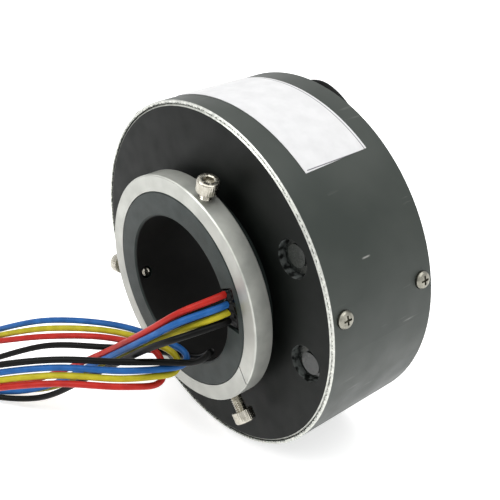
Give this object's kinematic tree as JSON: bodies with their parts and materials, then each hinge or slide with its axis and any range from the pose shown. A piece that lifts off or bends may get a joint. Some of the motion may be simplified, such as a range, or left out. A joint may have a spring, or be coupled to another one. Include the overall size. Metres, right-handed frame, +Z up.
{
  "type": "through-bore slip ring",
  "caption": "Round slip ring with a through bore, a rotor clamped on the shaft by a collar, a housing that stays still, and loose lead wires.",
  "frame": {"origin": "on the shaft axis, in the plane of the housing's front face", "axes": "-Y along the shaft axis out of the collar end, +Z up as in the picture, +X to the right seen from the collar end"},
  "size_m": [0.1872, 0.1561, 0.1192],
  "materials": {
    "rotor_metal": "turned",
    "collar_metal": "turned, bright",
    "screw_metal": "nickel plated",
    "bearing_steel": "ground",
    "spring_steel": "blued",
    "contact_brass": "polished",
    "insulation": "moulded",
    "cage_plastic": "moulded",
    "filling": "cast",
    "housing_paint": "grey anodised",
    "cover_black": "black anodised, bare edge",
    "block_plastic": "moulded",
    "brush_graphite": "pressed",
    "label_film": "satin film",
    "bush_rubber": "moulded",
    "lead_red": "wire insulation",
    "lead_blue": "wire insulation",
    "lead_yellow": "wire insulation",
    "lead_black": "wire insulation"
  },
  "bodies": {
    "rotor": {"rotor_sleeve": "rotor_metal", "clamp_collar": "collar_metal", "clamp_screws": "screw_metal", "insulating_sleeve": "insulation", "contact_ring_1": "contact_brass", "contact_ring_2": "contact_brass", "contact_ring_3": "contact_brass", "contact_ring_4": "contact_brass", "spacer_ring_1": "insulation", "spacer_ring_2": "insulation", "spacer_ring_3": "insulation", "spacer_ring_4": "insulation", "spacer_ring_5": "insulation", "front_inner_race": "bearing_steel", "rear_inner_race": "bearing_steel", "retaining_ring": "spring_steel", "lead_filling": "filling", "lead_red": "lead_red", "lead_yellow": "lead_yellow", "lead_blue": "lead_blue", "lead_black": "lead_black"},
    "stator": {"housing_tube": "housing_paint", "front_cover": "cover_black", "rear_cover": "cover_black", "front_outer_race": "bearing_steel", "rear_outer_race": "bearing_steel", "brush_block_1": "block_plastic", "brush_block_2": "block_plastic", "brushes_1": "brush_graphite", "brushes_2": "brush_graphite", "brush_springs_1": "spring_steel", "brush_springs_2": "spring_steel", "front_cover_screws": "screw_metal", "rear_cover_screws": "screw_metal", "label": "label_film", "outlet_bush": "bush_rubber", "stator_lead": "lead_black"},
    "front_ball_set": {"front_cage": "cage_plastic", "front_balls": "bearing_steel"},
    "rear_ball_set": {"rear_cage": "cage_plastic", "rear_balls": "bearing_steel"}
  },
  "joints": [
    {"name": "stator_spin", "type": "hinge", "parent": "rotor", "child": "stator", "pos_m": [0, 0, 0], "axis": [0, -1, 0], "continuous": true},
    {"name": "front_ball_orbit", "type": "hinge", "parent": "rotor", "child": "front_ball_set", "pos_m": [0, 0.007, 0], "axis": [0, -1, 0], "continuous": true},
    {"name": "rear_ball_orbit", "type": "hinge", "parent": "rotor", "child": "rear_ball_set", "pos_m": [0, 0.0351, 0], "axis": [0, -1, 0], "continuous": true}
  ],
  "couplings": [
    {"joint": "front_ball_orbit", "follows": "stator_spin", "ratio": 0.5406},
    {"joint": "rear_ball_orbit", "follows": "stator_spin", "ratio": 0.5406}
  ]
}
